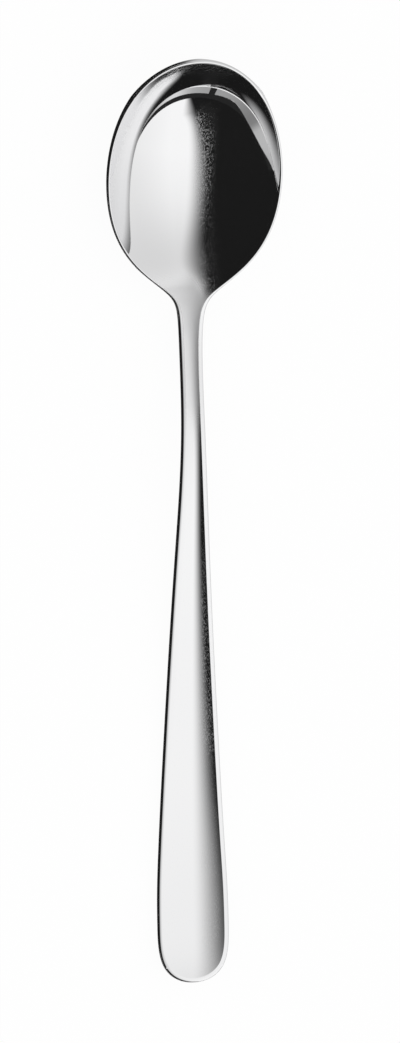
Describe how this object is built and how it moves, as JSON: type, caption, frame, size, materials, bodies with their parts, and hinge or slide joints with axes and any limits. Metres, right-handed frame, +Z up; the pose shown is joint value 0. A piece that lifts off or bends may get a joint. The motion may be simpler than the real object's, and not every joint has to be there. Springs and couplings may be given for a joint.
{
  "type": "serving spoon",
  "caption": "Serving spoon pressed from one piece of polished stainless steel, with an egg-shaped bowl, a slim neck and a long dished handle that flares to a round end.",
  "frame": {"origin": "centre of the spoon's bounding box in plan, at the height of the table it lies on", "axes": "+Y along the spoon towards the tip of the bowl, +X to the right of the handle seen from above, +Z up out of the bowl's hollow"},
  "size_m": [0.047, 0.2514, 0.019],
  "materials": {
    "polished_steel": "mirror-polished bare stainless steel with fine polishing haze"
  },
  "bodies": {
    "root": {"spoon": "polished_steel"}
  },
  "joints": []
}
